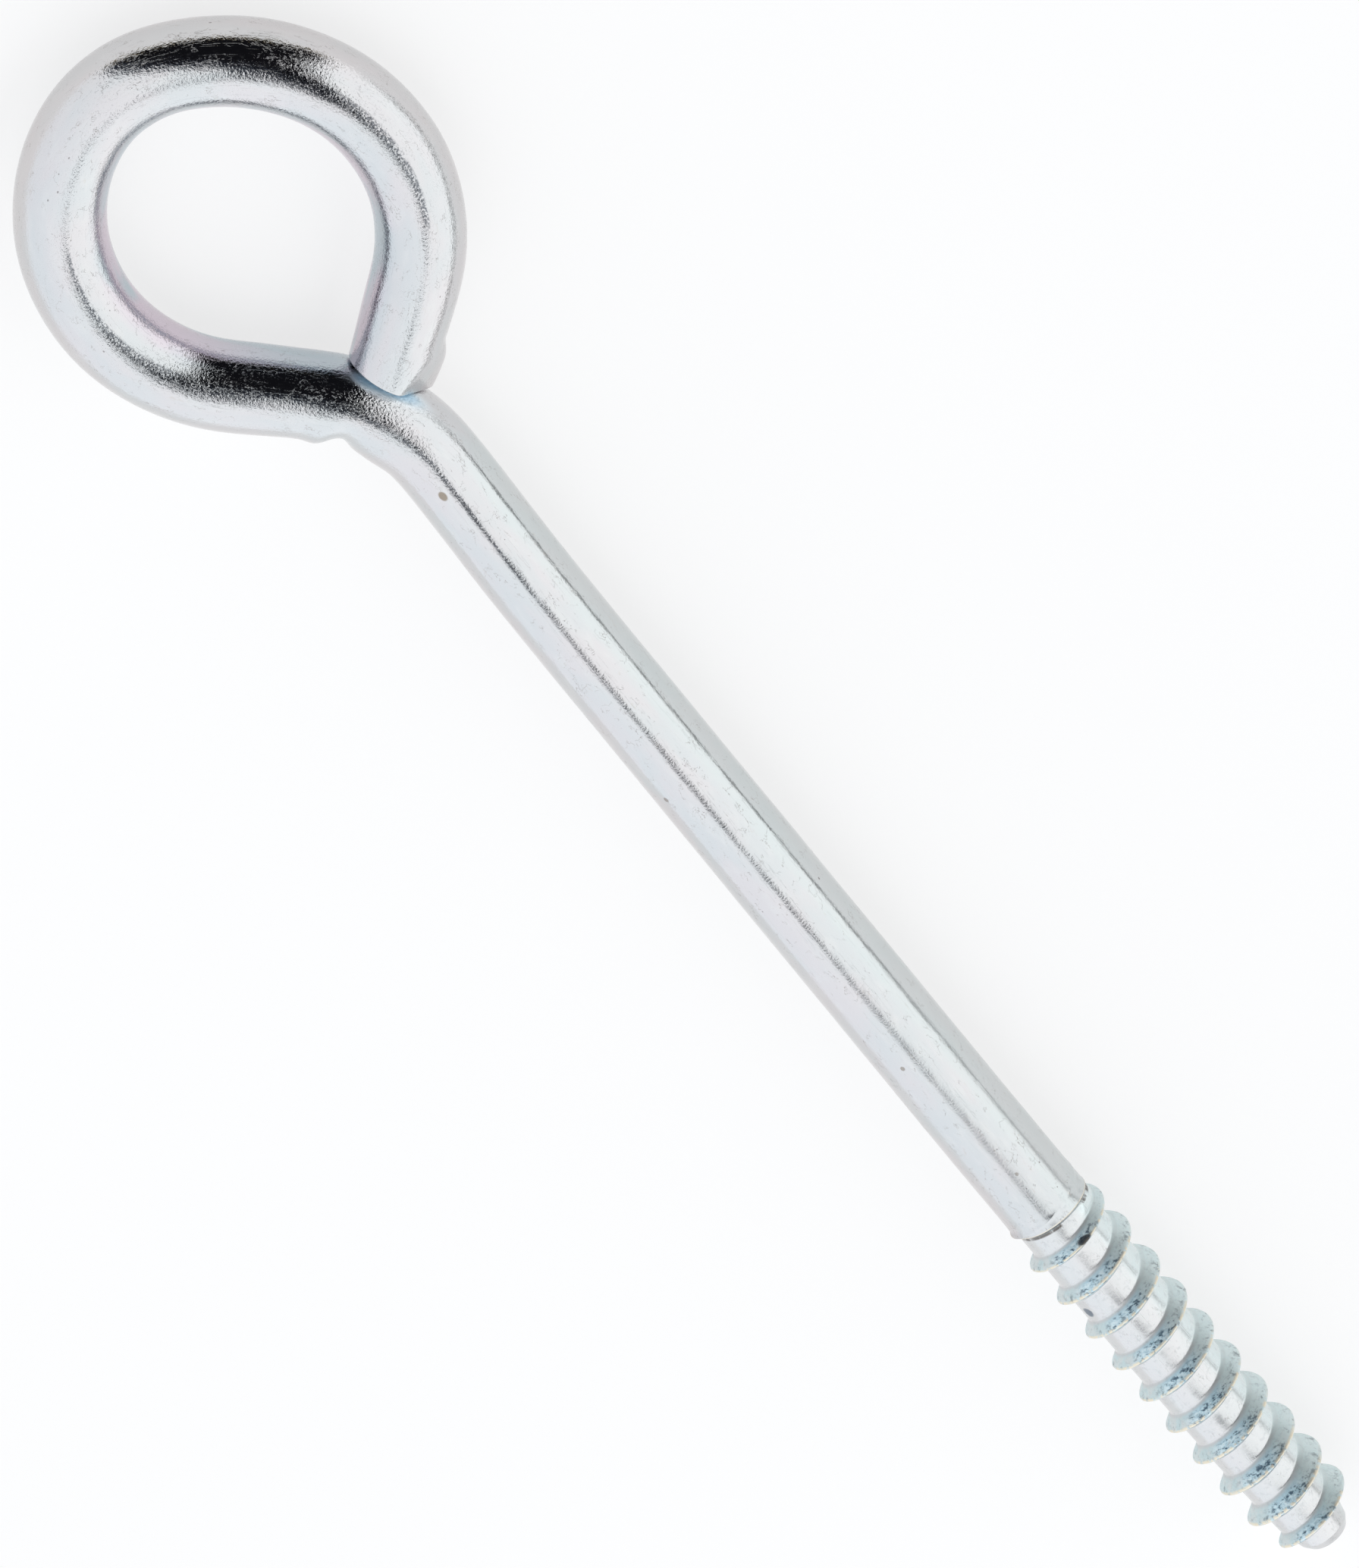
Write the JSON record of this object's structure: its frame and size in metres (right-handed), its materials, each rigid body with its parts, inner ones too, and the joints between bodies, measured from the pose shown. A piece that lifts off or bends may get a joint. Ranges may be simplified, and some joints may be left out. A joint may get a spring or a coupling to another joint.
{
  "type": "eye bolt",
  "caption": "Zinc-plated steel eye bolt: one round bar with a lag-screw thread and blunt tip, bent at the far end into an open teardrop eye.",
  "frame": {"origin": "centre of the eye, on the shank's axis and in the middle plane of the eye", "axes": "+X along the shank towards the thread's tip, +Z along the eye's normal, away from the surface the bolt lies on; +Y is the side that the cut end of the bar returns on"},
  "size_m": [0.1905, 0.0394, 0.0096],
  "materials": {
    "zinc_bar": "bright zinc plate on drawn bar, fine grain and small scratches",
    "zinc_thread": "bright zinc plate on a rolled thread, dark specks on the flanks"
  },
  "bodies": {
    "root": {"eye_loop": "zinc_bar", "return_leg": "zinc_bar", "neck_bend": "zinc_bar", "shank": "zinc_bar", "lag_thread": "zinc_thread", "thread_tip": "zinc_thread"}
  },
  "joints": []
}
